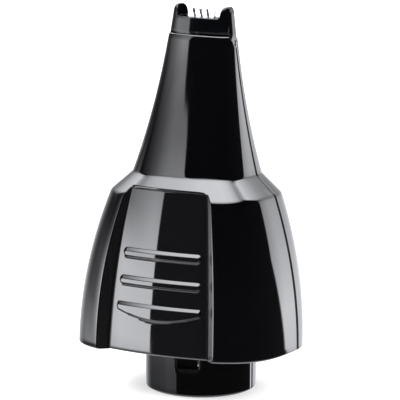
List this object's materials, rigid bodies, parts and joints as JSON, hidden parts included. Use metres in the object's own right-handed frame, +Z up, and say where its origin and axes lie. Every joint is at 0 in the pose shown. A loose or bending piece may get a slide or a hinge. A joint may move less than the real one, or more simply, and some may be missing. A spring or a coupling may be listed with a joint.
{
  "type": "nose hair trimmer",
  "caption": "Push-on nose hair trimmer head: flared gloss housing with a ribbed thumb panel, slim nozzle, slotted comb and a lever-driven cutter between two prongs.",
  "frame": {"origin": "centre of the spigot's end face, on the spigot's axis", "axes": "+Z up the spigot towards the blades, -Y the front with the thumb panel, X the cutter's stroke"},
  "size_m": [0.032, 0.0263, 0.0581],
  "materials": {
    "shell_black": "polished glossy black ABS",
    "panel_black": "glossy black ABS insert",
    "cap_black": "polished glossy black ABS",
    "blade_steel": "ground stainless steel",
    "holder_black": "moulded acetal, fine matt",
    "slide_white": "natural acetal",
    "spring_steel": "rolled spring steel",
    "lever_grey": "glass-filled nylon",
    "frame_grey": "glass-filled nylon",
    "bush_brass": "sintered bronze, satin",
    "pin_steel": "ground steel",
    "seal_rubber": "soft matt rubber",
    "screw_steel": "zinc plated steel"
  },
  "bodies": {
    "housing": {"front_shell": "shell_black", "rear_shell": "shell_black", "grip_panel": "panel_black", "blade_holder": "holder_black", "comb_blade": "blade_steel", "blade_spring": "spring_steel", "hair_seal": "seal_rubber", "drive_frame": "frame_grey", "pivot_pin": "pin_steel", "pin_clip": "spring_steel", "pivot_washers": "bush_brass", "shell_screws": "screw_steel", "frame_screws": "screw_steel", "comb_screws": "screw_steel", "spring_rivets": "screw_steel"},
    "lever": {"drive_lever": "lever_grey", "lever_bush": "bush_brass"},
    "cutter": {"cutter_slide": "slide_white", "cutter_blade": "blade_steel", "cutter_rivets": "blade_steel"},
    "cap": {"blade_cap": "cap_black"}
  },
  "joints": [
    {"name": "drive_rock", "type": "hinge", "parent": "housing", "child": "lever", "pos_m": [0, 0, 0.03], "axis": [0, 1, 0], "range_deg": [-1.5, 1.5]},
    {"name": "cutter_stroke", "type": "slide", "parent": "housing", "child": "cutter", "axis": [1, 0, 0], "range_m": [-0.00064, 0.00064]},
    {"name": "cap_lift", "type": "slide", "parent": "housing", "child": "cap", "axis": [0, 0.068, 0.9977], "range_m": [0, 0.012]}
  ],
  "couplings": [
    {"joint": "cutter_stroke", "follows": "drive_rock", "m_per_rad": 0.0234}
  ]
}
